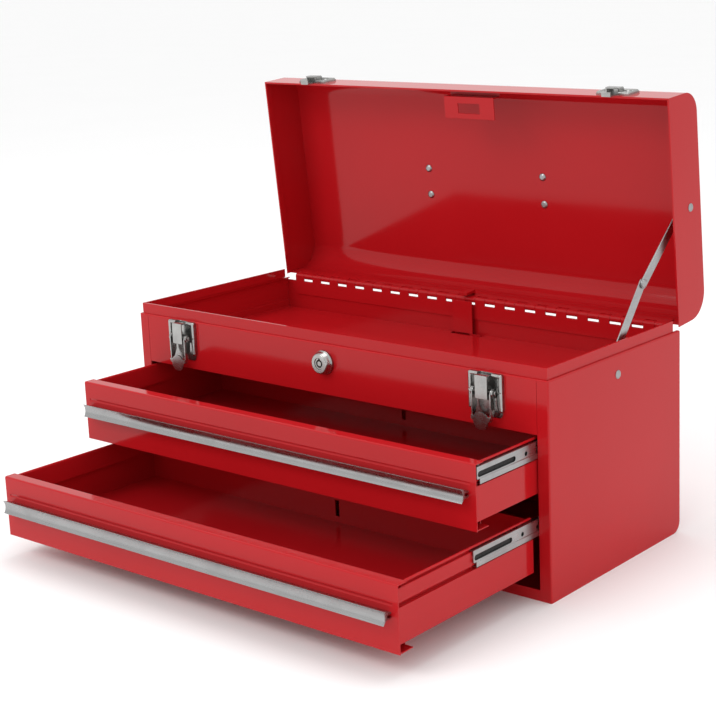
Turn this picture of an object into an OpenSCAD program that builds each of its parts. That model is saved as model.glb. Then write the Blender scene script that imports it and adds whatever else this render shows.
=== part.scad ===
// Portable steel tool chest: hinged lid over an open top till, two drawers on
// telescopic slides below, two draw latches and a tubular key lock.
// Drawn with the lid open and both drawers out. Millimetres, +Z up, origin at
// the centre of the base on the floor, drawers open towards -Y.

/* [Case] */
// Width over the side panels
case_w = 511; // [400:1:640]
// Depth from the front posts to the back panel
case_d = 216; // [190:1:280]
// Height of the ledge that the lid comes down to
case_h = 199.5; // [180:0.5:260]
// Thickness of the steel sheet
sheet = 0.9; // [0.7:0.1:1.2]
// Bend radius at the rear bottom corner
corner_r = 11; // [6:0.5:16]
// Outer radius of the long folds along the ledge and the drawer fronts
fold_r = 1.5; // [1.1:0.1:1.7]
// Width of the front posts beside the drawers
post_w = 12; // [10:0.5:16]
// Height of the rim above the ledge
rim_h = 10.3; // [6:0.1:14]
// How far the rim stands in from the panels
rim_inset = 2.5; // [1.5:0.1:4]
// Length of bare ledge behind the side rims
rim_back_gap = 8.3; // [6:0.1:20]
// Height of the panel above the drawers
fascia_h = 49; // [44:0.5:60]
// Depth of the open till below the ledge
till_depth = 33.5; // [30:0.5:40]
// Height of the sill below the bottom drawer
sill_h = 10; // [6:0.5:14]

/* [Lid] */
// Height of the lid
lid_h = 49.2; // [42:0.1:80]
// Angle at which the stay stops the lid
lid_open = 85; // [70:0.5:95]
// How far the lid stands in front of the case
lid_proud = 1; // [0.6:0.1:2]
// Gap between the lid edge and the ledge
lid_gap = 0.3; // [0.2:0.1:1]
// Radius of the front top bend
lid_front_r = 20; // [10:1:24]
// Radius of the rear top bend
lid_back_r = 25; // [10:1:28]

/* [Hinge] */
// Pitch of the hinge knuckles
knuckle_pitch = 25.4; // [19:0.1:32]
// Least bare length beyond each end of the hinge
hinge_margin = 14; // [8:1:40]
// Outer radius of a knuckle
knuckle_r = 3.2; // [2.6:0.1:3.6]
// Radius of the hinge pin
pin_r = 1.6; // [1.2:0.1:1.8]
// Thickness of the hinge leaves
leaf_t = 1.1; // [0.8:0.1:1.3]
// Height of the pin above the ledge
pin_rise = 2.4; // [2.2:0.1:4]
// Height of the slit under each lid knuckle
hinge_slit = 1.8; // [0.4:0.1:3]

/* [Drawers] */
// Height of a drawer front
front_h = 58.1; // [50:0.1:64]
// Underside of the lower drawer front
lower_z = 20.5; // [16:0.1:30]
// Gap between the two drawer fronts
front_gap = 11.4; // [6:0.1:20]
// Length of a drawer tray behind its front
tray_len = 179; // [150:1:182]
// How far the upper drawer stands out
upper_out = 86; // [0:1:180]
// How far the upper slides stand out
upper_mid_out = 86; // [0:0.5:93]
// How far the lower drawer stands out
lower_out = 187; // [0:1:187]
// How far the lower slides stand out
lower_mid_out = 93.5; // [0:0.5:93.5]
// Depth of the turned-in top edge of a drawer front
front_return = 11; // [8:0.5:14]
// Height of the tray floor above the front's lower edge
tray_lift = 8; // [6:0.5:12]

/* [Slides] */
// Running clearance between slide members
slide_gap = 0.3; // [0.25:0.05:0.4]
// Length of each slide member
slide_len = 180; // [150:1:184]
// Half height of the slide's middle member
mid_half_h = 7.5; // [6.5:0.1:8.5]
// Thickness of the slide steel
slide_t = 1; // [0.8:0.1:1.2]

/* [Pulls] */
// Height of the drawer pull
pull_h = 12.3; // [11:0.1:14]
// How far the pull stands out
pull_d = 10; // [8:0.1:12]
// How far each end of the pull stands in from the front's edge
pull_inset = 7.5; // [2:0.1:12]
// Lower edge of the pull above the front's lower edge
pull_z = 25.7; // [20:0.1:28]

/* [Latches] */
// Distance of each latch from the middle
latch_x = 191; // [150:1:205]
// Width of the latch plate
latch_w = 36.7; // [32:0.1:42]
// Height of the latch plate
latch_h = 36; // [33:0.5:40]
// Thickness of the latch plate
latch_t = 0.8; // [0.6:0.05:0.85]

/* [Lock] */
// Height of the lock below the ledge
lock_drop = 17.9; // [17:0.1:20]
// Radius of the lock barrel
barrel_r = 9.5; // [8.5:0.1:10]
// Radius of the lock's face ring
bezel_r = 11.8; // [11:0.1:13]
// Radius of the turning plug
plug_r = 5.4; // [4:0.1:6]
// Running clearance of the plug
plug_gap = 0.06; // [0.03:0.01:0.1]

/* [Stay] */
// Length of each stay link between pivots
link_len = 92.3; // [92.1:0.05:96]
// Width of the stay links
link_w = 9.5; // [8:0.5:11]
// Thickness of the stay links
link_t = 1.2; // [1:0.1:1.5]
// Distance of the case pivot in front of the hinge pin
stay_reach = 109.2; // [100:0.1:115]
// Height of the case pivot below the ledge
stay_drop = 18.3; // [16:0.1:22]
// Height of the lid pivot above the lid edge
stay_rise = 29.9; // [26:0.1:34]

/* [Carry handle] */
// Half distance between the handle brackets
handle_x = 74; // [60:1:90]
// Distance between the two rivets of a bracket
bracket_pitch = 28.4; // [24:0.1:34]
// Radius of the handle wire
wire_r = 3; // [2.5:0.1:4]
// Radius of the grip
grip_r = 8.5; // [7:0.5:11]
// Distance from the pivot to the grip
handle_reach = 33; // [28:0.5:42]

/* [Hidden] */
$fn = 48;

// Case planes
side_x = case_w / 2;
front_y = -case_d / 2;
back_y = case_d / 2;
inner_x = side_x - sheet;
inner_front_y = front_y + sheet;
inner_back_y = back_y - sheet;
open_x = side_x - post_w;
hem = 2 * sheet;
rim_x = side_x - rim_inset;
rim_y = front_y + rim_inset;
rim_in_x = rim_x - sheet;
rim_in_y = rim_y + sheet;
ledge_z = case_h - sheet;
rim_top = case_h + rim_h;
hem_z = case_h + 1.5;
seam_gap = 0.35;
fascia_z = case_h - fascia_h;
till_z = case_h - till_depth;

// Hinge axis: the leaves lie against the inside of the back walls
pin_y = inner_back_y - leaf_t + knuckle_r;
pin_z = case_h + pin_rise;
knuckle_pairs = floor((case_w - 2 * hinge_margin) / knuckle_pitch);
hinge_len = knuckle_pitch * knuckle_pairs;
knuckle_gap = 0.3;
wall_gap = 0.3;
case_back_top = pin_z - knuckle_r - hinge_slit;
leaf_drop = 20;
leaf_rise = 12;

// Lid planes, with the lid closed
lid_z = case_h + lid_gap;
lid_top = lid_z + lid_h;
lid_front_y = front_y - lid_proud;
lid_back_z = pin_z + knuckle_r + wall_gap;
lid_hem = 8;

// Slides: three members on each side of a drawer
front_gap_side = 0.4;
front_half_w = open_x - front_gap_side;
mid_x = open_x - 0.2;
rail_x = open_x + 0.1;
rail_out_x = rail_x + slide_t;
rail_in_x = rail_x - 2.5;
flange_in_x = mid_x - 4.7;
mid_step = 0.7;
case_rail_half_h = mid_half_h + slide_gap + slide_t;
drawer_rail_half_h = mid_half_h - slide_t - slide_gap;
drawer_rail_x = mid_x - mid_step - sheet - 1.0;
band_x = flange_in_x - 0.6;
tray_x = open_x - 1.5;
slide_drop = mid_half_h + 3.2;
mid_closed_y = inner_front_y + 1.6;
case_rail_y = inner_front_y + sheet + 0.3;
slot_h = 4.8;
slot_len = 52;
slot_up = 0.8;
lip_setback = 3;

// Drawers
upper_z = lower_z + front_h + front_gap;
roll_r = 1.2;
ledge_drop = slide_drop + case_rail_half_h + 0.3;
hook_z = 22;
lock_x = 15;

// Latch
latch_top = case_h - 0.5;
latch_rim_r = 1.8;
latch_rise = 4.2;
latch_rivet_x = 13.6;
latch_rivet_z = latch_top - 19;
lever_pin_z = latch_top - 16.5;
lever_pin_y = front_y - 5.2;
claw_drop = 4.6;
lever_w = 21;
lever_len = 33;
lever_web_drop = 21;
plate_tail = 3.5;
claw_w = 13.2;
pin_gap = 0.05;
lever_pin_r = 1.4;
claw_pin_r = 1.2;
keeper_t = 1.2;
keeper_w = 36;
keeper_h = 19;
keeper_z = lid_z + 6;
keeper_rim_r = 1.6;
keeper_lip_z = lid_z - 5;

// Lock
lock_z = case_h - lock_drop;
barrel_end_y = front_y + 16;
cam_in_r = 29;
cam_out_r = 34;
cam_arm_angle = -17;
cam_nose_angle = 33;
cam_y = barrel_end_y + 0.7;
cam_t = 2;
strike_t = 1.2;
strike_z = lid_z + 1;
strike_x0 = -7;
strike_x1 = 55;
strike_y0 = cam_y + cam_t / 2 - 11.7;
strike_y1 = strike_y0 + 22;

// Stay pivots on the right side, as [y, z]
stay_case = [pin_y - stay_reach, case_h - stay_drop];
stay_lid_shut = [pin_y - stay_reach - 1, lid_z + stay_rise];
upper_link_x = inner_x - 8.6;
lower_link_x = upper_link_x - 0.3 - link_t;
rivet_r = 2.5;
rivet_head_r = 4;

function turned(p, a) = [pin_y + (p[0] - pin_y) * cos(a) - (p[1] - pin_z) * sin(a),
                         pin_z + (p[0] - pin_y) * sin(a) + (p[1] - pin_z) * cos(a)];
stay_lid = turned(stay_lid_shut, -lid_open);
span = norm(stay_lid - stay_case);
bulge = sqrt(link_len * link_len - span * span / 4);
span_dir = (stay_lid - stay_case) / span;
elbow = (stay_case + stay_lid) / 2 + bulge * [-span_dir[1], span_dir[0]];

// Drawer lock bar behind the drawers
lock_bar_t = 1.2;
lock_bar_y = back_y - 6.5;
lock_bar_top = case_h + 1.5;
lock_bar_w = 14;
lock_bar_throw = 6;
spring_seat = lower_z + 62;
guide_z = [fascia_z - 14, spring_seat];

// A block between two corners
module block(a, b) {
    translate(a) cube(b - a);
}

// A profile drawn in Y and Z, drawn out along X
module along_x(x0, x1) {
    translate([x0, 0, 0]) rotate([90, 0, 90]) linear_extrude(x1 - x0) children();
}

// A profile drawn in X and Z, drawn out along Y
module along_y(y0, y1) {
    translate([0, y1, 0]) rotate([90, 0, 0]) linear_extrude(y1 - y0) children();
}

module rect(a, b) {
    translate(a) square(b - a);
}

module rod_x(x0, x1, y, z, r) {
    translate([x0, y, z]) rotate([0, 90, 0]) cylinder(h = x1 - x0, r = r);
}

module rod_y(y0, y1, x, z, r) {
    translate([x, y1, z]) rotate([90, 0, 0]) cylinder(h = y1 - y0, r = r);
}

module rod_z(z0, z1, x, y, r) {
    translate([x, y, z0]) cylinder(h = z1 - z0, r = r);
}

// A turned head with a small chamfer, standing on the plane z = 0
module rivet_head(r, h) {
    rotate_extrude() polygon([[0, 0], [r, 0], [r, h * 0.35], [r * 0.6, h], [0, h]]);
}

// Takes the sharp corner p off an outline; s points into the outline
module corner_cut(p, s, r) {
    difference() {
        translate([p[0] - (s[0] < 0 ? r : 1), p[1] - (s[1] < 0 ? r : 1)]) square(r + 1);
        translate(p + r * s) circle(r);
    }
}

module on_side(side) {
    if (side > 0) children();
    else mirror([1, 0, 0]) children();
}

// Turns what is drawn for a closed lid to its open place
module lid_pose() {
    translate([0, pin_y, pin_z]) rotate([-lid_open, 0, 0]) translate([0, -pin_y, -pin_z]) children();
}

// ---- Case ----

module wrapper_outline(inset) {
    difference() {
        rect([front_y + inset, inset], [back_y - inset, case_back_top]);
        corner_cut([back_y - inset, inset], [-1, 1], corner_r - inset);
    }
}

module case_wrapper() {
    color("firebrick") difference() {
        along_x(-inner_x, inner_x) difference() {
            wrapper_outline(0);
            wrapper_outline(sheet);
            rect([front_y - 1, sill_h], [inner_back_y, case_back_top + 1]);
        }
        for (side = [-1, 1])
            block([side > 0 ? open_x : -side_x, front_y - 1, sheet],
                  [side > 0 ? side_x : -open_x, inner_front_y, sill_h + 1]);
    }
}

// One side panel: flat side, joggled rim and front post, with a hemmed edge
module side_panel(has_stay) {
    difference() {
        union() {
            along_x(inner_x, side_x) difference() {
                rect([front_y, 0], [back_y, case_h]);
                corner_cut([back_y, 0], [-1, 1], corner_r);
            }
            block([rim_in_x, front_y, ledge_z], [inner_x, back_y, case_h]);
            block([rim_in_x, rim_y, case_h], [rim_x, back_y - rim_back_gap, rim_top]);
            block([rim_x - hem, rim_y + hem, hem_z], [rim_in_x, back_y - rim_back_gap, rim_top]);
            block([open_x, front_y, sheet], [inner_x, inner_front_y, ledge_z]);
            block([open_x, inner_front_y, sheet], [open_x + 6, inner_front_y + sheet, fascia_z - 1]);
        }
        if (has_stay) rod_x(inner_x - 1, side_x + 1, stay_case[0], stay_case[1], rivet_r + pin_gap);
        rod_z(ledge_z - 1, case_h + 1, side_x - 2, front_y + 2, 0.9);
        along_x(open_x - 1, side_x + 1) corner_cut([front_y, case_h], [1, -1], fold_r);
        along_y(front_y - 1, back_y + 1) corner_cut([side_x, case_h], [-1, -1], fold_r);
        translate([0, 0, -1]) linear_extrude(case_h + 2) corner_cut([side_x, front_y], [-1, 1], fold_r);
    }
}

module left_side_panel() { color("firebrick") on_side(-1) side_panel(false); }
module right_side_panel() { color("firebrick") on_side(1) side_panel(true); }

module front_fascia() {
    tab = 7;
    color("firebrick") difference() {
        union() {
            block([-open_x + seam_gap, front_y, fascia_z], [open_x - seam_gap, inner_front_y, ledge_z]);
            block([-open_x - tab, inner_front_y, till_z + 2], [open_x + tab, inner_front_y + sheet, ledge_z]);
            block([-rim_in_x, front_y, ledge_z], [rim_in_x, rim_in_y, case_h]);
            block([-rim_in_x, rim_y, case_h], [rim_in_x, rim_in_y, rim_top]);
            block([-rim_x + hem, rim_in_y, hem_z], [rim_x - hem, rim_y + hem, rim_top]);
            block([-open_x, inner_front_y, fascia_z], [open_x, inner_front_y + 8, fascia_z + sheet]);
        }
        along_x(-side_x, side_x) corner_cut([front_y, case_h], [1, -1], fold_r);
        rod_y(front_y - 1, front_y + 3, 0, lock_z, barrel_r + pin_gap);
        for (x = [-latch_x, latch_x], dx = [-1, 1])
            rod_y(front_y - 1, front_y + 3, x + dx * latch_rivet_x, latch_rivet_z, 1.6);
    }
}

module till_pan() {
    front_edge = inner_front_y + sheet;
    color("firebrick") difference() {
        union() {
            block([-inner_x, front_edge, till_z - sheet], [inner_x, inner_back_y, till_z]);
            for (x = [-inner_x, inner_x - sheet])
                block([x, front_edge, till_z], [x + sheet, inner_back_y, till_z + 8]);
            block([-open_x, front_edge, till_z - 6], [open_x, front_edge + sheet, till_z - sheet]);
            block([-inner_x, inner_back_y - sheet, till_z - 9], [inner_x, inner_back_y, till_z - sheet]);
        }
        block([-16, lock_bar_y - 2, till_z - 10], [lock_x + 9, back_y, till_z + 1]);
    }
}

// Upright Z-section that carries the case rails of both drawers
module slide_bracket(y) {
    depth = 14;
    top = till_z - 12;
    block([inner_x - sheet, y, sheet], [inner_x, y + depth, top]);
    block([rail_out_x, y, sheet], [inner_x - sheet, y + sheet, top]);
    block([rail_out_x, y + sheet, sheet], [rail_out_x + sheet, y + depth, top]);
}

module slide_brackets(side) {
    color("firebrick") on_side(side)
        for (y = [front_y + 16, front_y + slide_len - 24]) slide_bracket(y);
}

module left_slide_brackets() { slide_brackets(-1); }
module right_slide_brackets() { slide_brackets(1); }

// ---- Hinge ----

// Half-pitch knuckles of one leaf, and the leaf's flat from z0 to z1
module leaf(first, z0, z1) {
    flat_y = inner_back_y - leaf_t;
    half = knuckle_pitch / 2;
    difference() {
        union() {
            block([-hinge_len / 2, flat_y, z0], [hinge_len / 2, inner_back_y, z1]);
            for (i = [0 : knuckle_pairs - 1]) {
                x0 = -hinge_len / 2 + (i * 2 + first) * half + knuckle_gap / 2;
                rod_x(x0, x0 + half - knuckle_gap, pin_y, pin_z, knuckle_r);
                block([x0, flat_y, min(z1, pin_z)], [x0 + half - knuckle_gap, inner_back_y, max(z0, pin_z)]);
            }
        }
        rod_x(-hinge_len, hinge_len, pin_y, pin_z, pin_r + pin_gap);
    }
}

module hinge_case_leaf() {
    color("firebrick") leaf(0, pin_z - leaf_drop, case_back_top - 0.3);
}

module hinge_lid_leaf() {
    color("firebrick") lid_pose() leaf(1, pin_z + knuckle_r + 0.6, pin_z + leaf_rise);
}

module hinge_pin() {
    color("silver") rod_x(-hinge_len / 2 - 1, hinge_len / 2 + 1, pin_y, pin_z, pin_r);
}

// ---- Lid ----

module lid_outline(inset) {
    difference() {
        rect([lid_front_y + inset, lid_z - inset], [back_y - inset, lid_top - inset]);
        corner_cut([lid_front_y + inset, lid_top - inset], [1, -1], lid_front_r - inset);
        corner_cut([back_y - inset, lid_top - inset], [-1, -1], lid_back_r - inset);
    }
}

// Centres of the carry handle's rivets on the lid top, as [x, y]
handle_rivet_places = [for (x = [-handle_x, handle_x], s = [-1, 1]) [x, s * bracket_pitch / 2]];

module lid_shell() {
    color("firebrick") lid_pose() difference() {
        along_x(-inner_x, inner_x) union() {
            difference() {
                lid_outline(0);
                lid_outline(sheet);
                rect([back_y - 2, lid_z - 1], [back_y + 1, lid_back_z]);
            }
            rect([lid_front_y + sheet, lid_z], [lid_front_y + hem, lid_z + lid_hem]);
        }
        for (p = handle_rivet_places) rod_z(lid_top - 2, lid_top + 1, p[0], p[1], rivet_r + pin_gap);
    }
}

module lid_end(has_stay) {
    difference() {
        union() {
            along_x(inner_x, side_x) lid_outline(0);
            along_x(inner_x - sheet, inner_x) rect([lid_front_y + hem, lid_z], [back_y - 22, lid_z + lid_hem]);
        }
        if (has_stay) rod_x(inner_x - 2, side_x + 1, stay_lid_shut[0], stay_lid_shut[1], rivet_r + pin_gap);
    }
}

module lid_left_end() { color("firebrick") lid_pose() on_side(-1) lid_end(false); }
module lid_right_end() { color("firebrick") lid_pose() on_side(1) lid_end(true); }

// Catch plate for the lock cam: a flat with a window, cranked over the rim
module lid_lock_strike() {
    riser_top = rim_top + 2.2;
    window_x0 = cam_in_r * cos(asin((strike_z - lock_z + strike_t) / cam_in_r)) - 10.5;
    window_x1 = cam_out_r * cos(asin((strike_z - lock_z) / cam_out_r)) + 9;
    color("firebrick") lid_pose() difference() {
        union() {
            block([strike_x0, strike_y0, strike_z], [strike_x1, strike_y1, strike_z + strike_t]);
            block([strike_x0, strike_y0, strike_z + strike_t], [strike_x1, strike_y0 + strike_t, riser_top]);
            block([strike_x0, lid_front_y + sheet, riser_top],
                  [strike_x1, strike_y0 + strike_t, riser_top + strike_t]);
            block([strike_x0, lid_front_y + sheet, riser_top + strike_t],
                  [strike_x1, lid_front_y + sheet + strike_t, riser_top + strike_t + 10]);
        }
        block([window_x0, cam_y - 4, strike_z - 1], [window_x1, cam_y + cam_t + 4, strike_z + strike_t + 1]);
    }
}

// Keepers on the lid front: a rimmed dish with a hollow lug over a turned-out tongue
module lid_keepers() {
    y = lid_front_y;
    z0 = keeper_z;
    z1 = keeper_z + keeper_h;
    rim = keeper_rim_r;
    lug_half = 7.5;
    tongue_half = 5;
    color("silver") lid_pose() for (x = [-latch_x, latch_x]) difference() {
        union() {
            block([x - keeper_w / 2, y - rim, z0], [x + keeper_w / 2, y, z1]);
            for (s = [-1, 1]) {
                edge = x + s * (keeper_w / 2 - rim);
                rod_z(z0 + rim, z1 - rim, edge, y - rim, rim);
                for (z = [z0 + rim, z1 - rim]) translate([edge, y - rim, z]) sphere(rim);
            }
            for (z = [z0 + rim, z1 - rim])
                rod_x(x - keeper_w / 2 + rim, x + keeper_w / 2 - rim, y - rim, z, rim);
            along_x(x - lug_half, x + lug_half) union() {
                rect([y - 7, z0 + 0.4], [y - rim / 2, z0 + 7]);
                rect([y - 5, z0 + 7], [y - rim / 2, z0 + 9]);
                translate([y - 5, z0 + 7]) circle(2);
            }
            block([x - tongue_half, y - keeper_t, keeper_lip_z], [x + tongue_half, y, z0 + rim]);
            block([x - tongue_half, y - keeper_t - 3, keeper_lip_z],
                  [x + tongue_half, y - keeper_t, keeper_lip_z + keeper_t]);
            for (dx = [-11.5, 11.5]) translate([x + dx, y - rim, (z0 + z1) / 2])
                rotate([90, 0, 0]) rivet_head(2.4, 1.4);
        }
        block([x - lug_half + 1.3, y - 5.7, z0 - 1], [x + lug_half - 1.3, y - keeper_t, z0 + 6.4]);
    }
}

// Finger on the lid that presses the drawer lock bar down as the lid shuts
module lock_bar_pusher() {
    finger_y = lock_bar_y - 0.9;
    finger_z = lock_bar_top - lock_bar_throw + 0.4;
    arm_z = pin_z + knuckle_r + 3;
    color("firebrick") lid_pose() {
        block([-3, finger_y, finger_z], [6, finger_y + 3, arm_z + 1.5]);
        block([-3, finger_y + 3, arm_z], [6, inner_back_y - leaf_t, arm_z + 1.5]);
    }
}

// ---- Carry handle on the lid top ----

pivot_rise = 7;
handle_pivot = [0, lid_top + pivot_rise];

module handle_brackets() {
    foot_t = 1.6;
    color("silver") lid_pose() for (s = [-1, 1]) difference() {
        union() {
            block([s * handle_x - 8, -bracket_pitch / 2 - 7, lid_top],
                  [s * handle_x + 8, bracket_pitch / 2 + 7, lid_top + foot_t]);
            rod_x(s * handle_x - 6, s * handle_x + 6, handle_pivot[0], handle_pivot[1], wire_r + 2);
            block([s * handle_x - 6, -wire_r - 2, lid_top + foot_t],
                  [s * handle_x + 6, wire_r + 2, handle_pivot[1]]);
        }
        rod_x(s * handle_x - 20, s * handle_x + 20, handle_pivot[0], handle_pivot[1], wire_r + pin_gap);
        for (dy = [-1, 1]) rod_z(lid_top - 1, lid_top + foot_t + 1, s * handle_x, dy * bracket_pitch / 2,
                                 rivet_r + pin_gap);
    }
}

module handle_rivets() {
    color("silver") lid_pose() for (p = handle_rivet_places) {
        rod_z(lid_top - sheet, lid_top + 1.6, p[0], p[1], rivet_r);
        translate([p[0], p[1], lid_top + 1.6]) rivet_head(rivet_head_r, 1.8);
        translate([p[0], p[1], lid_top - sheet]) mirror([0, 0, 1]) rivet_head(rivet_head_r, 1.6);
    }
}

// Bail, folded back along the lid: two stub axles, two legs and the bar
module carry_handle_wire() {
    leg_x = handle_x - 14;
    y = handle_pivot[0];
    z = handle_pivot[1];
    color("silver") lid_pose() {
        for (s = [-1, 1]) {
            rod_x(s > 0 ? leg_x : -handle_x - 7, s > 0 ? handle_x + 7 : -leg_x, y, z, wire_r);
            translate([s * leg_x, y, z]) sphere(wire_r);
            rod_y(y, y + handle_reach, s * leg_x, z, wire_r);
            translate([s * leg_x, y + handle_reach, z]) sphere(wire_r);
        }
        rod_x(-leg_x, leg_x, y + handle_reach, z, wire_r);
    }
}

module carry_handle_grip() {
    grip_half = handle_x - 20;
    color("dimgray") lid_pose() translate([0, handle_pivot[0] + handle_reach, handle_pivot[1]])
        rotate([0, 90, 0]) rotate_extrude() polygon([
            [wire_r + pin_gap, -grip_half], [grip_r - 2.5, -grip_half], [grip_r - 2.5, -grip_half + 3],
            [grip_r - 3.5, -grip_half + 4], [grip_r - 2.5, -grip_half + 5], [grip_r - 2.3, grip_half - 5],
            [grip_r - 3.5, grip_half - 4], [grip_r - 2.5, grip_half - 3], [grip_r - 2.5, grip_half],
            [wire_r + pin_gap, grip_half]]);
}

// ---- Draw latches ----

// Back plate with a rolled rim down both sides, and ears for the lever's pin
module latch_plates() {
    z0 = latch_top - latch_h;
    r = latch_rim_r;
    rim_y = front_y - latch_rise + r;
    color("silver") for (x = [-latch_x, latch_x]) difference() {
        union() {
            along_y(front_y - latch_t, front_y) difference() {
                rect([x - latch_w / 2 + r, z0 - plate_tail], [x + latch_w / 2 - r, latch_top]);
                corner_cut([x - latch_w / 2 + r, z0 - plate_tail], [1, 1], plate_tail);
                corner_cut([x + latch_w / 2 - r, z0 - plate_tail], [-1, 1], plate_tail);
            }
            for (s = [-1, 1]) {
                edge = x + s * (latch_w / 2 - r);
                block([edge - r, rim_y, z0 + 4], [edge + r, front_y, latch_top - r]);
                rod_z(z0 + 4, latch_top - r, edge, rim_y, r);
                rod_y(rim_y, front_y, edge, latch_top - r, r);
                translate([edge, rim_y, latch_top - r]) sphere(r);
                rod_y(rim_y, front_y, edge, z0 + 4, r);
                translate([edge, rim_y, z0 + 4]) sphere(r);
                inner = x + s * (claw_w / 2 + 1);
                rod_x(min(inner, edge), max(inner, edge), rim_y, latch_top - r, r);
                block([min(inner, edge), rim_y, latch_top - 2 * r], [max(inner, edge), front_y, latch_top]);
                ear = x + s * (lever_w / 2 + 0.9);
                along_x(ear - 0.6, ear + 0.6) difference() {
                    union() {
                        rect([lever_pin_y, lever_pin_z - 4], [front_y - latch_t, lever_pin_z + 4]);
                        translate([lever_pin_y, lever_pin_z]) circle(4);
                    }
                    rect([front_y - latch_t, lever_pin_z - 5], [front_y + 5, lever_pin_z + 5]);
                }
            }
        }
        rod_x(x - lever_w, x + lever_w, lever_pin_y, lever_pin_z, lever_pin_r + pin_gap);
        for (dx = [-1, 1])
            rod_y(front_y - 5, front_y + 1, x + dx * latch_rivet_x, latch_rivet_z, 1.6);
    }
}

module latch_rivets() {
    color("silver") for (x = [-latch_x, latch_x], dx = [-1, 1])
        translate([x + dx * latch_rivet_x, 0, latch_rivet_z]) {
            rod_y(front_y - latch_t, front_y + hem, 0, 0, 1.5);
            translate([0, front_y - latch_t, 0]) rotate([90, 0, 0]) rivet_head(1.5, 1);
            translate([0, front_y + hem, 0]) rotate([-90, 0, 0]) rivet_head(2.3, 1);
        }
}

module latch_lever_pins() {
    color("silver") for (x = [-latch_x, latch_x]) {
        half = lever_w / 2 + 2.4;
        rod_x(x - half, x + half, lever_pin_y, lever_pin_z, lever_pin_r);
        for (s = [-1, 1]) rod_x(x + s * half - 0.4, x + s * half + 0.4, lever_pin_y, lever_pin_z, 2.2);
    }
}

// Lever: two cheeks on the pin, a web across their front and a rounded tongue
module latch_lever(x) {
    cheek_t = 1.1;
    web_y = lever_pin_y - 4.4;
    tip_z = lever_pin_z - lever_len;
    color("silver") difference() {
        union() {
            for (s = [-1, 1]) {
                cheek = x + s * (lever_w / 2 - cheek_t / 2);
                along_x(cheek - cheek_t / 2, cheek + cheek_t / 2) union() {
                    translate([lever_pin_y, lever_pin_z]) circle(4);
                    polygon([[web_y, lever_pin_z], [lever_pin_y + 3.6, lever_pin_z],
                             [lever_pin_y + 2.6, lever_pin_z - 13], [web_y + 2, tip_z + 8],
                             [web_y, tip_z + 8]]);
                }
            }
            rod_x(x - lever_w / 2, x + lever_w / 2, lever_pin_y, lever_pin_z - claw_drop, claw_pin_r);
            along_y(web_y - 1.2, web_y) difference() {
                union() {
                    rect([x - lever_w / 2, tip_z + 8], [x + lever_w / 2, lever_pin_z - lever_web_drop]);
                    rect([x - lever_w / 2 + 5, tip_z + 1], [x + lever_w / 2 - 5, tip_z + 8]);
                    translate([x, tip_z + 8]) circle(8);
                }
                corner_cut([x - lever_w / 2, tip_z + 8], [1, 1], 2.5);
                corner_cut([x + lever_w / 2, tip_z + 8], [-1, 1], 2.5);
            }
        }
        rod_x(x - lever_w, x + lever_w, lever_pin_y, lever_pin_z, lever_pin_r + pin_gap);
    }
}

// Claw: a flat strap with a window, hooked in over the keeper's lip
module latch_claw(x) {
    strap_y = front_y - 9.2;
    strap_t = 1.2;
    hook_z0 = keeper_lip_z + keeper_t + 0.35;
    bottom_z = lever_pin_z - claw_drop;
    color("gainsboro") difference() {
        union() {
            block([x - claw_w / 2, strap_y, bottom_z], [x + claw_w / 2, strap_y + strap_t, hook_z0 + strap_t]);
            block([x - claw_w / 2, strap_y, hook_z0],
                  [x + claw_w / 2, lid_front_y - keeper_t - 0.5, hook_z0 + strap_t]);
            rod_x(x - claw_w / 2, x + claw_w / 2, lever_pin_y, bottom_z, 2.2);
            block([x - claw_w / 2, strap_y, bottom_z - 1.2], [x + claw_w / 2, lever_pin_y, bottom_z + 1.2]);
        }
        rod_x(x - claw_w, x + claw_w, lever_pin_y, bottom_z, claw_pin_r + pin_gap);
    }
}

module left_latch_lever() { latch_lever(-latch_x); }
module right_latch_lever() { latch_lever(latch_x); }
module left_latch_claw() { latch_claw(-latch_x); }
module right_latch_claw() { latch_claw(latch_x); }

// ---- Key lock ----

module lock_housing() {
    face_y = front_y - 8;
    color("silver") difference() {
        translate([0, 0, lock_z]) rotate([90, 0, 0]) rotate_extrude() polygon([
            [plug_r + plug_gap, -barrel_end_y], [barrel_r, -barrel_end_y], [barrel_r, -front_y],
            [bezel_r, -front_y], [bezel_r, -front_y + 2.2], [bezel_r - 1, -front_y + 3.4],
            [bezel_r - 2, -face_y - 1], [bezel_r - 3, -face_y], [plug_r + plug_gap, -face_y]]);
    }
}

module lock_nut() {
    color("silver") difference() {
        translate([0, front_y + hem + 4, lock_z]) rotate([90, 0, 0]) cylinder(h = 4, r = 13, $fn = 6);
        rod_y(front_y, front_y + 10, 0, lock_z, barrel_r + pin_gap);
    }
}

module lock_plug() {
    face_y = front_y - 7.2;
    keyway_in = 2.4;
    keyway_out = 3.8;
    color("dimgray") difference() {
        union() {
            rod_y(face_y, barrel_end_y + 0.3, 0, lock_z, plug_r);
            rod_y(barrel_end_y + 0.3, cam_y + cam_t, 0, lock_z, 4);
        }
        difference() {
            rod_y(face_y - 1, face_y + 5, 0, lock_z, keyway_out);
            rod_y(face_y - 2, face_y + 6, 0, lock_z, keyway_in);
        }
        block([-0.9, face_y - 1, lock_z + keyway_in], [0.9, face_y + 2, lock_z + plug_r - 0.4]);
    }
}

module wedge(a0, a1, r) {
    polygon([[0, 0], [r * cos(a0), r * sin(a0)], [r * cos((a0 + a1) / 2), r * sin((a0 + a1) / 2)],
             [r * cos(a1), r * sin(a1)]]);
}

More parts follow.
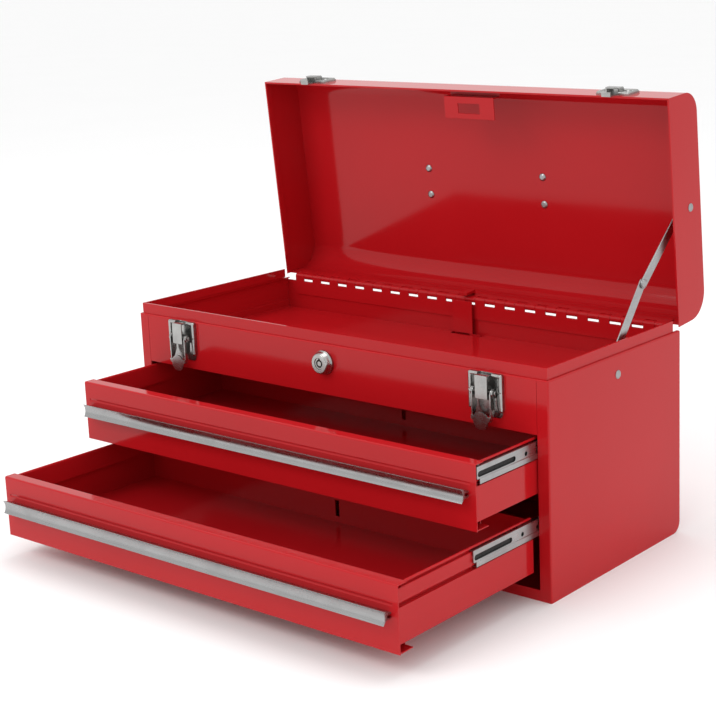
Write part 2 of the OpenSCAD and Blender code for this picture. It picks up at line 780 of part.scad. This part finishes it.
// Hooked cam; its nose sweeps up through the window of the strike
module lock_cam() {
    color("silver") difference() {
        union() {
            along_y(cam_y, cam_y + cam_t) translate([0, lock_z]) union() {
                circle(8);
                rotate(cam_arm_angle) rect([0, 0.6], [cam_in_r + 1.5, 7]);
                intersection() {
                    difference() {
                        circle(cam_out_r);
                        circle(cam_in_r);
                    }
                    wedge(cam_arm_angle, cam_nose_angle, 2 * cam_out_r);
                }
            }
            translate([0, cam_y + 1, lock_z]) rotate([-90, 0, 0]) cylinder(h = cam_t + 1.2, r = 6.5, $fn = 6);
        }
        rod_y(cam_y - 1, cam_y + cam_t + pin_gap, 0, lock_z, 4 + pin_gap);
    }
}

// ---- Lid stay on the right side ----

module link(a, b, x) {
    along = (b - a) / norm(b - a);
    across = [-along[1], along[0]] * link_w / 2;
    along_x(x, x + link_t) union() {
        translate(a) circle(link_w / 2);
        translate(b) circle(link_w / 2);
        polygon([a - across, b - across, b + across, a + across]);
    }
}

module stay_lower_link() {
    color("silver") {
        difference() {
            link(stay_case, elbow, lower_link_x);
            rod_x(lower_link_x - 1, lower_link_x + 5, stay_case[0], stay_case[1], rivet_r + pin_gap);
        }
        translate([lower_link_x, elbow[0], elbow[1]]) rotate([0, -90, 0]) rivet_head(rivet_head_r, 1.6);
    }
}

module stay_upper_link() {
    color("silver") {
        difference() {
            link(stay_lid, elbow, upper_link_x);
            rod_x(upper_link_x - 1, upper_link_x + 5, stay_lid[0], stay_lid[1], rivet_r + pin_gap);
        }
        translate([upper_link_x + link_t, elbow[0], elbow[1]]) rotate([0, 90, 0]) rivet_head(rivet_head_r, 1.6);
    }
}

// Shoulder rivet from outside a panel to a link at x
module stay_rivet(p, x) {
    shoulder = x + link_t + 0.1;
    rod_x(x - 0.1, side_x, p[0], p[1], rivet_r);
    rod_x(shoulder, inner_x, p[0], p[1], rivet_head_r);
    translate([x - 0.1, p[0], p[1]]) rotate([0, -90, 0]) rivet_head(rivet_head_r, 1.6);
    translate([side_x, p[0], p[1]]) rotate([0, 90, 0]) rivet_head(rivet_head_r, 1.6);
}

module stay_case_rivet() { color("silver") stay_rivet(stay_case, lower_link_x); }
module stay_lid_rivet() { color("silver") stay_rivet(stay_lid, upper_link_x); }

// ---- Drawer lock bar ----

module lock_hook(z) {
    tip_y = inner_front_y + tray_len - sheet - 4.6;
    along_x(lock_x - 0.6, lock_x + 0.6) union() {
        rect([tip_y, z], [lock_bar_y, z + 8]);
        rect([tip_y, z - 6.5], [tip_y + 3, z]);
    }
}

module drawer_lock_bar() {
    y1 = lock_bar_y + lock_bar_t;
    color("firebrick") {
        block([-14, lock_bar_y, till_z + 1], [12, y1, lock_bar_top]);
        block([lock_x - lock_bar_w / 2, lock_bar_y, lower_z + hook_z - 2],
              [lock_x + lock_bar_w / 2, y1, till_z + 1]);
        lock_hook(lower_z + hook_z);
        lock_hook(upper_z + hook_z);
    }
}

// Straps on the back panel that the bar slides behind
module lock_bar_guides() {
    half = lock_bar_w / 2 + 0.4;
    y0 = lock_bar_y - 0.4;
    color("silver") for (z = guide_z) {
        for (s = [-1, 1]) {
            leg = lock_x + s * (half + 0.6);
            foot = lock_x + s * (half + 5);
            block([leg - 0.6, y0 - 1.2, z], [leg + 0.6, inner_back_y, z + 9]);
            block([foot - (s > 0 ? 3.8 : 4), inner_back_y - 1.2, z],
                  [foot + (s > 0 ? 4 : 3.8), inner_back_y, z + 9]);
        }
        block([lock_x - half, y0 - 1.2, z], [lock_x + half, y0, z + 9]);
        if (z == spring_seat) block([lock_x - 4, y0 - 7.4, z + 7.8], [lock_x + 4, y0 - 1.2, z + 9]);
    }
}

// Lifting spring between the lower guide and the bar's hook
module lock_bar_spring() {
    spring_z = spring_seat + 9;
    color("silver") translate([lock_x, lock_bar_y - 4.6, spring_z])
        linear_extrude(height = upper_z + hook_z - spring_z, twist = -360 * 7, slices = 70, $fn = 6)
            translate([2.4, 0]) circle(0.7, $fn = 6);
}

// ---- Slides and drawers ----

function out(level) = level == "upper" ? upper_out : lower_out;
function mid_out(level) = level == "upper" ? upper_mid_out : lower_mid_out;
function base_z(level) = level == "upper" ? upper_z : lower_z;
function slide_z(level) = base_z(level) + front_h - slide_drop;

module case_rail(level, side) {
    z = slide_z(level);
    h = case_rail_half_h;
    color("silver") on_side(side) along_y(case_rail_y, case_rail_y + slide_len) translate([0, z]) union() {
        rect([rail_x, -h], [rail_out_x, h]);
        rect([rail_in_x, h - slide_t], [rail_x, h]);
        rect([rail_in_x, -h], [rail_x, -h + slide_t]);
    }
}

// Middle member: web with a long slot, and a lower lip that stands proud
module slide_member(level, side) {
    z = slide_z(level);
    h = mid_half_h;
    y0 = mid_closed_y - mid_out(level);
    web_x = mid_x - mid_step;
    color("gainsboro") on_side(side) difference() {
        along_y(y0, y0 + slide_len) translate([0, z]) polygon([
            [flange_in_x, h], [web_x, h], [web_x, -2.4], [mid_x, -3.1], [mid_x, -h], [flange_in_x, -h],
            [flange_in_x, -h + slide_t], [mid_x - slide_t, -h + slide_t], [mid_x - slide_t, -3.5],
            [web_x - sheet, -2.9], [web_x - sheet, h - slide_t], [flange_in_x, h - slide_t]]);
        block([flange_in_x - 1, y0 - 1, z - h - 1], [mid_x + 1, y0 + lip_setback, z - 2.9]);
        for (start = [1.2, slide_len - slot_len - 3]) translate([0, y0 + start, z + slot_up]) {
            block([web_x - 2, slot_h / 2, -slot_h / 2], [mid_x + 1, slot_len - slot_h / 2, slot_h / 2]);
            rod_x(web_x - 2, mid_x + 1, slot_h / 2, 0, slot_h / 2);
            rod_x(web_x - 2, mid_x + 1, slot_len - slot_h / 2, 0, slot_h / 2);
        }
        for (dy = [68, 90, 112]) rod_x(web_x - 2, mid_x + 1, y0 + dy, z + slot_up, 2);
    }
}

// Inner member, welded to the drawer side and painted with it
module drawer_rail(level, side) {
    z = slide_z(level);
    h = drawer_rail_half_h;
    y0 = inner_front_y - out(level);
    y1 = y0 + tray_len;
    color("firebrick") on_side(side) along_y(y0, y1) translate([0, z]) difference() {
        rect([band_x, -h], [drawer_rail_x, h]);
        rect([band_x - 1, -h + sheet], [drawer_rail_x - sheet, h - sheet]);
        corner_cut([drawer_rail_x, -h], [-1, 1], 0.8);
        corner_cut([drawer_rail_x, h], [-1, -1], 0.8);
    }
}

module drawer_tray(level) {
    z = base_z(level);
    floor_z = z + tray_lift;
    top_z = z + front_h;
    ledge = top_z - ledge_drop;
    y0 = inner_front_y - out(level);
    y1 = y0 + tray_len;
    clear_y = y0 + front_return + 0.5;
    color("firebrick") difference() {
        union() {
            block([-tray_x, y0, floor_z], [tray_x, y1, floor_z + sheet]);
            for (side = [-1, 1]) on_side(side) {
                block([tray_x - sheet, y0, floor_z + sheet], [tray_x, y1, ledge]);
                block([band_x - sheet, y0, ledge - sheet], [tray_x - sheet, y1, ledge]);
                block([band_x - sheet, y0, ledge], [band_x, y1, top_z - 1.5]);
                rod_y(clear_y, y1, band_x + 0.8, top_z - 1.5, roll_r);
            }
            block([-band_x + sheet, y1 - sheet, ledge], [band_x - sheet, y1, top_z - 2.5]);
            block([-tray_x + sheet, y1 - sheet, floor_z + sheet], [tray_x - sheet, y1, ledge]);
        }
        block([-case_w, y0 - 1, top_z - 7.5], [case_w, clear_y, top_z + 1]);
        block([lock_x - 2.5, y1 - 2, z + hook_z - 7.2], [lock_x + 2.5, y1 + 1, z + hook_z + 8.7]);
    }
}

module drawer_front(level) {
    z = base_z(level);
    top_z = z + front_h;
    y0 = front_y - out(level);
    y1 = y0 + sheet;
    groove_z = z + pull_z + pull_h + 2.6;
    groove_margin = 6;
    return_half_w = band_x - sheet - 0.3;
    foot_depth = 17;
    color("firebrick") difference() {
        union() {
            block([-front_half_w, y0, z], [front_half_w, y1, top_z]);
            block([-front_half_w, y1, top_z - sheet], [front_half_w, y0 + front_return, top_z]);
            block([-return_half_w, y0 + front_return - sheet, top_z - 6],
                  [return_half_w, y0 + front_return, top_z - sheet]);
            block([-front_half_w + 1, y1, z], [front_half_w - 1, y0 + foot_depth, z + sheet]);
            block([-tray_x + 8, y0 + foot_depth - sheet, z + sheet],
                  [tray_x - 8, y0 + foot_depth, z + tray_lift]);
        }
        along_x(-case_w, case_w) corner_cut([y0, top_z], [1, -1], fold_r);
        rod_x(-front_half_w + groove_margin, front_half_w - groove_margin, y0 - 1.6, groove_z, 2.1);
    }
}

// Aluminium pull: a slotted bar on the drawer front that carries a tall hollow-faced lip
module drawer_pull(level) {
    lip_r = 0.6;
    face_r = 10;
    face_depth = 2.2;
    bar_z0 = 3.6;
    bar_z1 = 8.8;
    color("gainsboro") along_x(-front_half_w + pull_inset, front_half_w - pull_inset)
        translate([front_y - out(level), base_z(level) + pull_z]) difference() {
            union() {
                polygon([[-pull_d + lip_r, 0], [-pull_d + 2 * lip_r, lip_r], [-pull_d + 4.2, bar_z0 - 0.2],
                         [0, bar_z0], [0, bar_z1], [-pull_d + lip_r, pull_h]]);
                translate([-pull_d + lip_r, lip_r]) circle(lip_r);
                translate([-pull_d + lip_r, pull_h - lip_r]) circle(lip_r);
            }
            translate([-pull_d + face_depth - face_r, pull_h / 2]) circle(face_r, $fn = 96);
            rect([-4.6, bar_z0 + 1.5], [1, bar_z1 - 1.5]);
        }
}

module upper_left_case_rail() { case_rail("upper", -1); }
module upper_right_case_rail() { case_rail("upper", 1); }
module lower_left_case_rail() { case_rail("lower", -1); }
module lower_right_case_rail() { case_rail("lower", 1); }
module upper_left_slide() { slide_member("upper", -1); }
module upper_right_slide() { slide_member("upper", 1); }
module lower_left_slide() { slide_member("lower", -1); }
module lower_right_slide() { slide_member("lower", 1); }
module upper_left_drawer_rail() { drawer_rail("upper", -1); }
module upper_right_drawer_rail() { drawer_rail("upper", 1); }
module lower_left_drawer_rail() { drawer_rail("lower", -1); }
module lower_right_drawer_rail() { drawer_rail("lower", 1); }
module upper_drawer_tray() { drawer_tray("upper"); }
module lower_drawer_tray() { drawer_tray("lower"); }
module upper_drawer_front() { drawer_front("upper"); }
module lower_drawer_front() { drawer_front("lower"); }
module upper_drawer_pull() { drawer_pull("upper"); }
module lower_drawer_pull() { drawer_pull("lower"); }

case_wrapper();
left_side_panel();
right_side_panel();
front_fascia();
till_pan();
left_slide_brackets();
right_slide_brackets();
hinge_case_leaf();
hinge_lid_leaf();
hinge_pin();
lid_shell();
lid_left_end();
lid_right_end();
lid_lock_strike();
lid_keepers();
lock_bar_pusher();
handle_brackets();
handle_rivets();
carry_handle_wire();
carry_handle_grip();
latch_plates();
latch_rivets();
latch_lever_pins();
left_latch_lever();
left_latch_claw();
right_latch_lever();
right_latch_claw();
lock_housing();
lock_nut();
lock_plug();
lock_cam();
stay_lower_link();
stay_upper_link();
stay_case_rivet();
stay_lid_rivet();
drawer_lock_bar();
lock_bar_guides();
lock_bar_spring();
upper_left_case_rail();
upper_right_case_rail();
lower_left_case_rail();
lower_right_case_rail();
upper_left_slide();
upper_right_slide();
lower_left_slide();
lower_right_slide();
upper_left_drawer_rail();
upper_right_drawer_rail();
lower_left_drawer_rail();
lower_right_drawer_rail();
upper_drawer_tray();
upper_drawer_front();
upper_drawer_pull();
lower_drawer_tray();
lower_drawer_front();
lower_drawer_pull();
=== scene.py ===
# A portable steel tool chest, open, on a pale studio floor.
import math

import bpy
from mathutils import Matrix, Vector


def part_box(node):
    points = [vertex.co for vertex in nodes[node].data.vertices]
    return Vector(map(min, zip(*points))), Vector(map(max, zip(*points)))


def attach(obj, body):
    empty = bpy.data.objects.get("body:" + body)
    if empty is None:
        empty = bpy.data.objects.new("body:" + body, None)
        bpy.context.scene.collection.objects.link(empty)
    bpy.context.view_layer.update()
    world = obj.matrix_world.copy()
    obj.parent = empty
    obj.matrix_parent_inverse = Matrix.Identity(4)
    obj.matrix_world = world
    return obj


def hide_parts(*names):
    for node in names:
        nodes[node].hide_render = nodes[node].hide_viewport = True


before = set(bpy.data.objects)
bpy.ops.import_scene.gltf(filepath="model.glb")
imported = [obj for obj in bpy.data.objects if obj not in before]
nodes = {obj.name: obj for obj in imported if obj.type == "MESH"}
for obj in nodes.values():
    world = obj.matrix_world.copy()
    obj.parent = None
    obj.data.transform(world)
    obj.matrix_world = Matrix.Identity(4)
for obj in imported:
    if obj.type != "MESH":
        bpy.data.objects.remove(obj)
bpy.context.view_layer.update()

LEVELS = ("upper", "lower")
SIDES = ("left", "right")

# ---- Powder coated sheet steel ----
# The case, lid and drawers are folded from 0.9 mm steel and sprayed with one coat of
# glossy red powder. It levels with a faint orange peel and wipes a little duller in places.

WELD = 0.00001  # the frame's mesh has its own corners on each face
FLAT = math.radians(0.5)


class Val:
    """A shader socket that can be used in arithmetic."""

    def __init__(self, tree, socket):
        self.tree = tree
        self.socket = socket

    def node(self, kind, settings, *values, **named):
        """Adds a node, plugs the values into its inputs and returns its first output."""
        made = self.tree.nodes.new(kind)
        for key, value in settings.items():
            setattr(made, key, value)
        plugs = list(enumerate(values)) + [(k.replace("_", " "), v) for k, v in named.items()]
        for key, value in plugs:
            plug_in(made, key, value)
        return Val(self.tree, made.outputs[0])

    def _math(self, operation, *values):
        return self.node("ShaderNodeMath", {"operation": operation}, *values)

    def __add__(self, other):
        return self._math("ADD", self, other)

    def __sub__(self, other):
        return self._math("SUBTRACT", self, other)

    def __rsub__(self, other):
        return self._math("SUBTRACT", other, self)

    def __mul__(self, other):
        return self._math("MULTIPLY", self, other)

    __rmul__ = __mul__

    def clamp(self, low, high):
        return self.node("ShaderNodeClamp", {}, self, low, high)

    def mix(self, first, second):
        """The first colour where this mask is 0, the second where it is 1."""
        factor, a, b, colour_out = 0, 6, 7, 2
        made = self.tree.nodes.new("ShaderNodeMix")
        made.data_type = "RGBA"
        self.tree.links.new(self.socket, made.inputs[factor])
        made.inputs[a].default_value = (*first, 1)
        made.inputs[b].default_value = (*second, 1)
        return Val(self.tree, made.outputs[colour_out])


def plug_in(shader, name, value):
    """Links a Val to an input, or sets a plain value on it."""
    if isinstance(value, Val):
        value.tree.links.new(value.socket, shader.inputs[name])
    else:
        shader.inputs[name].default_value = value


def new_material(name):
    """A material with one Principled shader: returns it, the shader and the object position."""
    made = bpy.data.materials.new(name)
    made.use_nodes = True
    tree = made.node_tree
    tree.nodes.clear()
    shader = tree.nodes.new("ShaderNodeBsdfPrincipled")
    output = tree.nodes.new("ShaderNodeOutputMaterial")
    tree.links.new(shader.outputs[0], output.inputs[0])
    where = tree.nodes.new("ShaderNodeTexCoord")
    return made, shader, Val(tree, where.outputs["Object"])


def bump(at, height, strength, distance):
    return at.node("ShaderNodeBump", {}, Strength=strength, Distance=distance, Height=height)


def noise(at, scale, detail=2.0, roughness=0.5):
    return at.node(
        "ShaderNodeTexNoise", {}, Vector=at, Scale=scale, Detail=detail, Roughness=roughness)


def stretched(at, x, y, z):
    return at.node("ShaderNodeMapping", {}, Vector=at, Scale=(x, y, z))


def red_powder(name, colour, light, roughness):
    made, shader, at = new_material(name)
    cloud = noise(at, 7.0, 3.0)
    speck = noise(at, 700.0, 2.0)
    tone = (cloud * 0.8 + speck * 0.2 - 0.35) * 1.4
    plug_in(shader, "Base Color", tone.clamp(0.0, 1.0).mix(colour, light))
    wiped = noise(stretched(at, 1.0, 1.0, 3.0), 14.0, 4.0, 0.6)
    plug_in(shader, "Roughness", wiped * 0.08 + (roughness - 0.04))
    peel = noise(at, 330.0, 2.0, 0.5)
    plug_in(shader, "Normal", bump(at, peel, 0.03, 0.0002))
    plug_in(shader, "IOR", 1.5)
    plug_in(shader, "Specular IOR Level", 0.23)
    return made


red_paint = red_powder(
    "red_powder_coat", colour=(0.44, 0.0075, 0.011), light=(0.50, 0.010, 0.014), roughness=0.10)


def pick_only(piece):
    bpy.ops.object.select_all(action="DESELECT")
    piece.select_set(True)
    bpy.context.view_layer.objects.active = piece


def copy_of(node, name):
    """A merged copy of a CAD node, which then stands for it."""
    piece = bpy.data.objects.new(name, nodes[node].data.copy())
    bpy.context.scene.collection.objects.link(piece)
    pick_only(piece)
    bpy.ops.object.mode_set(mode="EDIT")
    bpy.ops.mesh.select_all(action="SELECT")
    bpy.ops.mesh.remove_doubles(threshold=WELD)
    bpy.ops.mesh.customdata_custom_splitnormals_clear()
    bpy.ops.mesh.dissolve_limited(angle_limit=FLAT)
    bpy.ops.object.mode_set(mode="OBJECT")
    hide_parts(node)
    return piece


def finish_piece(piece, body, material, edge=0.0, segments=2, angle=35):
    """Rounds a piece's edges, smooths it, paints it and puts it on its body."""
    pick_only(piece)
    if edge:
        rounded = piece.modifiers.new("rounded", "BEVEL")
        rounded.width = edge
        rounded.segments = segments
        rounded.limit_method = "ANGLE"
        rounded.angle_limit = math.radians(angle)
        rounded.miter_outer = "MITER_ARC"
        rounded.use_clamp_overlap = True
        bpy.ops.object.modifier_apply(modifier="rounded")
    bpy.ops.object.shade_smooth_by_angle(angle=math.radians(angle))
    even = piece.modifiers.new("even", "WEIGHTED_NORMAL")
    even.weight = 80
    even.keep_sharp = True
    bpy.ops.object.modifier_apply(modifier="even")
    piece.data.materials.clear()
    piece.data.materials.append(material)
    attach(piece, body)


def paint_cad(node, material):
    """Puts a material on a CAD node that stays as it is."""
    nodes[node].data.materials.clear()
    nodes[node].data.materials.append(material)


def sheet(node, name, body, edge, segments=2):
    finish_piece(copy_of(node, name), body, red_paint, edge, segments)


for node in ("case_wrapper", "left_side_panel", "right_side_panel", "front_fascia", "till_pan",
             "left_slide_brackets", "right_slide_brackets", "hinge_case_leaf"):
    sheet(node, node + "_sheet", "case", 0.0006, 3)
for node in ("lid_shell", "lid_left_end", "lid_right_end", "lid_lock_strike", "lock_bar_pusher",
             "hinge_lid_leaf"):
    sheet(node, node + "_sheet", "lid", 0.0004)
sheet("drawer_lock_bar", "lock_bar_sheet", "lock_bar", 0.0003)
for level in LEVELS:
    for part in ("drawer_tray", "drawer_front", "left_drawer_rail", "right_drawer_rail"):
        sheet(f"{level}_{part}", f"{level}_{part}_sheet", level + "_drawer", 0.0004)

# ---- Zinc plated steel ----
# Slides, stay, hinge pin and rivets: drawn or stamped steel with thin zinc plating, satin,
# faintly streaked along its length and unevenly grey.


def plated(name, dark, light, roughness, streak, strength):
    made, shader, at = new_material(name)
    grain = noise(stretched(at, *streak), 60.0, 4.0, 0.6)
    stain = noise(at, 45.0, 4.0, 0.6)
    tone = (grain * 0.5 + stain * 0.9 - 0.2).clamp(0.0, 1.0)
    plug_in(shader, "Base Color", tone.mix(dark, light))
    plug_in(shader, "Metallic", 1.0)
    plug_in(shader, "Roughness", (1.0 - stain) * 0.22 + grain * 0.12 + (roughness - 0.17))
    plug_in(shader, "Normal", bump(at, grain, strength, 0.0002))
    return made


zinc = plated(
    "zinc_steel", dark=(0.24, 0.24, 0.24), light=(0.46, 0.46, 0.46),
    roughness=0.30, streak=(14.0, 1.5, 14.0), strength=0.08)
for node, body, edge in (
        ("hinge_pin", "case", 0.0),
        ("handle_rivets", "lid", 0.0002),
        ("stay_lower_link", "stay_lower", 0.0002),
        ("stay_upper_link", "stay_upper", 0.0002),
        ("stay_case_rivet", "case", 0.0003),
        ("stay_lid_rivet", "lid", 0.0003),
        ("lock_bar_guides", "case", 0.0002),
        ("lock_nut", "case", 0.0004),
        ("lock_cam", "lock_barrel", 0.0003),
        ("upper_left_case_rail", "case", 0.0002),
        ("upper_right_case_rail", "case", 0.0002),
        ("lower_left_case_rail", "case", 0.0002),
        ("lower_right_case_rail", "case", 0.0002),
        ("upper_left_slide", "upper_slides", 0.0002),
        ("upper_right_slide", "upper_slides", 0.0002),
        ("lower_left_slide", "lower_slides", 0.0002),
        ("lower_right_slide", "lower_slides", 0.0002)):
    finish_piece(copy_of(node, node + "_metal"), body, zinc, edge, 2, 30)
paint_cad("lock_bar_spring", zinc)

# ---- Ball cages of the slides ----
# A long strip between the middle and inner members, pressed with a pocket for each ball. Its
# near-black colour is painted shade: it stands for the shadow inside the channel behind the
# slots. It runs with the middle member.
painted_shade_black = plated(
    "painted_shade_steel", dark=(0.018, 0.018, 0.018), light=(0.045, 0.045, 0.045),
    roughness=0.42, streak=(8.0, 1.0, 8.0), strength=0.2)
POCKETS = 14
POCKET_PITCH = 0.0125
POCKET_MARGIN = 0.0017
POCKET_LIP = 0.0003
POCKET_DEPTH = 0.00025
CAGE_THICK = 0.0006
CAGE_HEIGHT = 0.0062
CAGE_IN = 0.0021  # from the slide's outer face
CAGE_FRONT = 0.002  # from the slide's front end
CAGE_UP = 0.0008  # above the slide's middle
for level in LEVELS:
    for side in SIDES:
        low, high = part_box(f"{level}_{side}_slide")
        sign = 1 if side == "right" else -1
        outer = max(abs(low[0]), abs(high[0]))
        bpy.ops.object.select_all(action="DESELECT")
        bpy.ops.mesh.primitive_cube_add(size=1.0, location=(0, 0, 0))
        cage = bpy.context.object
        cage.name = f"{level}_{side}_ball_cage"
        bpy.ops.object.mode_set(mode="EDIT")
        bpy.ops.mesh.select_all(action="SELECT")
        bpy.ops.transform.resize(value=(CAGE_THICK, POCKET_PITCH, CAGE_HEIGHT))
        bpy.ops.mesh.select_mode(type="FACE")
        bpy.ops.object.mode_set(mode="OBJECT")
        for face in cage.data.polygons:
            face.select = face.normal.x * sign > 0.9
        bpy.ops.object.mode_set(mode="EDIT")
        bpy.ops.mesh.inset(thickness=POCKET_MARGIN, depth=0)
        bpy.ops.mesh.inset(thickness=POCKET_LIP, depth=-POCKET_DEPTH)
        bpy.ops.object.mode_set(mode="OBJECT")
        row = cage.modifiers.new("row", "ARRAY")
        row.count = POCKETS
        row.use_relative_offset = False
        row.use_constant_offset = True
        row.constant_offset_displace = (0, POCKET_PITCH, 0)
        row.use_merge_vertices = True
        row.merge_threshold = 0.00005
        bpy.ops.object.modifier_apply(modifier="row")
        cage.location = (
            sign * (outer - CAGE_IN),
            low[1] + POCKET_PITCH / 2 + CAGE_FRONT,
            (low[2] + high[2]) / 2 + CAGE_UP)
        bpy.ops.object.transform_apply(location=True, rotation=True, scale=True)
        finish_piece(cage, level + "_slides", painted_shade_black, 0.00012, 2)

# ---- Nickel plated latches, keepers, lock and handle ----
# Pressed and rolled steel with bright nickel, a little cloudy and duller in patches where
# hands touch it.
nickel = plated(
    "nickel_plate", dark=(0.24, 0.24, 0.235), light=(0.52, 0.515, 0.50),
    roughness=0.24, streak=(3.0, 3.0, 1.0), strength=0.05)
for node, body, edge in (
        ("latch_plates", "case", 0.0002),
        ("latch_rivets", "case", 0.0002),
        ("latch_lever_pins", "case", 0.0002),
        ("left_latch_lever", "left_lever", 0.0003),
        ("left_latch_claw", "left_claw", 0.0003),
        ("right_latch_lever", "right_lever", 0.0003),
        ("right_latch_claw", "right_claw", 0.0003),
        ("lid_keepers", "lid", 0.0003),
        ("lock_housing", "case", 0.0003),
        ("lock_plug", "lock_barrel", 0.0002),
        ("handle_brackets", "lid", 0.0004),
        ("carry_handle_wire", "carry_handle", 0.0)):
    finish_piece(copy_of(node, node + "_metal"), body, nickel, edge, 2, 30)

# ---- Aluminium drawer pulls ----
# One extruded section per drawer, cut square at both ends and clear anodised; the die leaves
# very fine lines along its length.
aluminium = plated(
    "aluminium_pull", dark=(0.28, 0.28, 0.28), light=(0.40, 0.40, 0.40),
    roughness=0.27, streak=(0.6, 20.0, 20.0), strength=0.05)
for level in LEVELS:
    pull = copy_of(level + "_drawer_pull", level + "_drawer_pull_bar")
    finish_piece(pull, level + "_drawer", aluminium, 0.00015, 2, 25)

# ---- Rubber grip of the carry handle ----
# A moulded black sleeve on the wire, matt and very slightly grained.
rubber, shader, at = new_material("black_grip")
fleck = noise(at, 300.0, 3.0)
plug_in(shader, "Base Color", fleck.mix((0.012, 0.012, 0.012), (0.03, 0.03, 0.03)))
plug_in(shader, "Roughness", fleck * 0.2 + 0.45)
plug_in(shader, "Normal", bump(at, fleck, 0.3, 0.0003))
paint_cad("carry_handle_grip", rubber)

# ---- Studio ----
# A pale floor that runs out to a white room, three large soft lights, and the camera.
FLOOR = 60
floor_mesh = bpy.data.meshes.new("studio_floor")
floor_mesh.from_pydata(
    [(-FLOOR, -FLOOR, 0), (FLOOR, -FLOOR, 0), (FLOOR, FLOOR, 0), (-FLOOR, FLOOR, 0)],
    [], [(0, 1, 2, 3)])
floor = bpy.data.objects.new("studio_floor", floor_mesh)
bpy.context.scene.collection.objects.link(floor)
pale, shader, at = new_material("pale_floor")
plug_in(shader, "Base Color", noise(at, 3.0).mix((0.95, 0.95, 0.95), (0.97, 0.97, 0.97)))
plug_in(shader, "Roughness", 0.9)
plug_in(shader, "Specular IOR Level", 0.1)
floor.data.materials.append(pale)

world = bpy.data.worlds.new("studio")
bpy.context.scene.world = world
world.use_nodes = True
backdrop = world.node_tree.nodes["Background"]
plug_in(backdrop, "Color", (1.0, 1.0, 1.0, 1))
plug_in(backdrop, "Strength", 1.0)


def soft_light(name, place, target, size, power):
    lamp = bpy.data.lights.new(name, "AREA")
    lamp.shape = "RECTANGLE"
    lamp.size, lamp.size_y = size
    lamp.energy = power
    made = bpy.data.objects.new(name, lamp)
    bpy.context.scene.collection.objects.link(made)
    made.location = place
    made.rotation_euler = (Vector(target) - Vector(place)).to_track_quat("-Z", "Y").to_euler()


soft_light("key_light", (-0.6, -1.9, 1.9), (0, 0, 0.15), (1.2, 0.9), 13)
soft_light("side_light", (2.2, 0.2, 1.1), (0.1, 0, 0.2), (1.0, 1.4), 1.5)
soft_light("top_light", (0.0, 0.2, 2.4), (0, 0, 0), (1.6, 1.2), 11)

IMAGE = 716  # the render's width
FOCAL = 1608.21  # focal length on the render's own scale
SENSOR = 36
PLACE = (1.01005, -1.17028, 0.55217)
yaw, pitch, roll = math.radians(36.89), math.radians(12.57), math.radians(-1.33)
forward = Vector((
    -math.sin(yaw) * math.cos(pitch), math.cos(yaw) * math.cos(pitch), -math.sin(pitch)))
level_right = Vector((math.cos(yaw), math.sin(yaw), 0))
level_up = level_right.cross(forward)
right = math.cos(roll) * level_right + math.sin(roll) * level_up
up = -math.sin(roll) * level_right + math.cos(roll) * level_up
turn = Matrix((right, up, -forward)).transposed()

lens = bpy.data.cameras.new("camera")
lens.sensor_width = SENSOR
lens.lens = FOCAL * SENSOR / IMAGE
lens.shift_x = -0.206
lens.shift_y = -0.067
lens.clip_start, lens.clip_end = 0.05, 2 * FLOOR
camera = bpy.data.objects.new("camera", lens)
bpy.context.scene.collection.objects.link(camera)
camera.matrix_world = Matrix.Translation(PLACE) @ turn.to_4x4()
bpy.context.scene.camera = camera
bpy.context.scene.view_settings.view_transform = "Standard"
